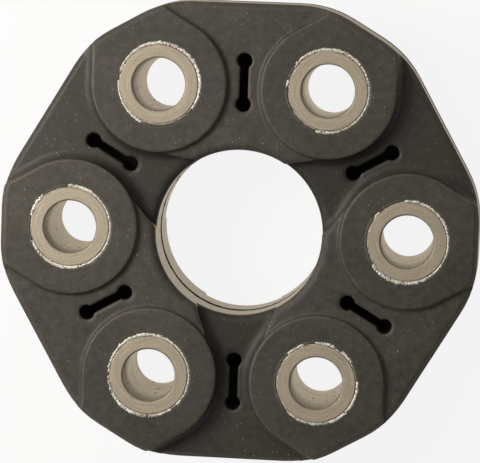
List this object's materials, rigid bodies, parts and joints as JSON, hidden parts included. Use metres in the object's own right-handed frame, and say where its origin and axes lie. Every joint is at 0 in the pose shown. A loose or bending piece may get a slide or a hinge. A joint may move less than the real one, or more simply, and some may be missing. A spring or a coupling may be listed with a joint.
{
  "type": "flexible disc coupling",
  "caption": "Flexible rubber disc coupling for a driveshaft: steel bolt bushes moulded into a rubber disc, tied by cord loops in thick and thin webs, round a plain centre hole.",
  "frame": {"origin": "middle of the disc, on the shaft axis and half-way between its two faces", "axes": "+Z along the shaft axis towards the front face, +X through the centre of bush_1"},
  "size_m": [0.1372, 0.1318, 0.036],
  "materials": {
    "rubber": "matt moulded rubber, dusty",
    "bush_steel": "turned, dull",
    "collar_steel": "pressed sheet, broken edge",
    "cord": "wound cord in rubber"
  },
  "bodies": {
    "root": {"rubber_body": "rubber", "bush_1": "bush_steel", "bush_2": "bush_steel", "bush_3": "bush_steel", "bush_4": "bush_steel", "bush_5": "bush_steel", "bush_6": "bush_steel", "front_collar_1": "collar_steel", "front_collar_2": "collar_steel", "front_collar_3": "collar_steel", "front_collar_4": "collar_steel", "front_collar_5": "collar_steel", "front_collar_6": "collar_steel", "front_inner_collar_1": "collar_steel", "front_inner_collar_2": "collar_steel", "front_inner_collar_3": "collar_steel", "front_inner_collar_4": "collar_steel", "front_inner_collar_5": "collar_steel", "front_inner_collar_6": "collar_steel", "rear_inner_collar_1": "collar_steel", "rear_inner_collar_2": "collar_steel", "rear_inner_collar_3": "collar_steel", "rear_inner_collar_4": "collar_steel", "rear_inner_collar_5": "collar_steel", "rear_inner_collar_6": "collar_steel", "rear_collar_1": "collar_steel", "rear_collar_2": "collar_steel", "rear_collar_3": "collar_steel", "rear_collar_4": "collar_steel", "rear_collar_5": "collar_steel", "rear_collar_6": "collar_steel", "front_cord_1": "cord", "front_cord_2": "cord", "front_cord_3": "cord", "middle_cord_1": "cord", "middle_cord_2": "cord", "middle_cord_3": "cord", "rear_cord_1": "cord", "rear_cord_2": "cord", "rear_cord_3": "cord"}
  },
  "joints": []
}
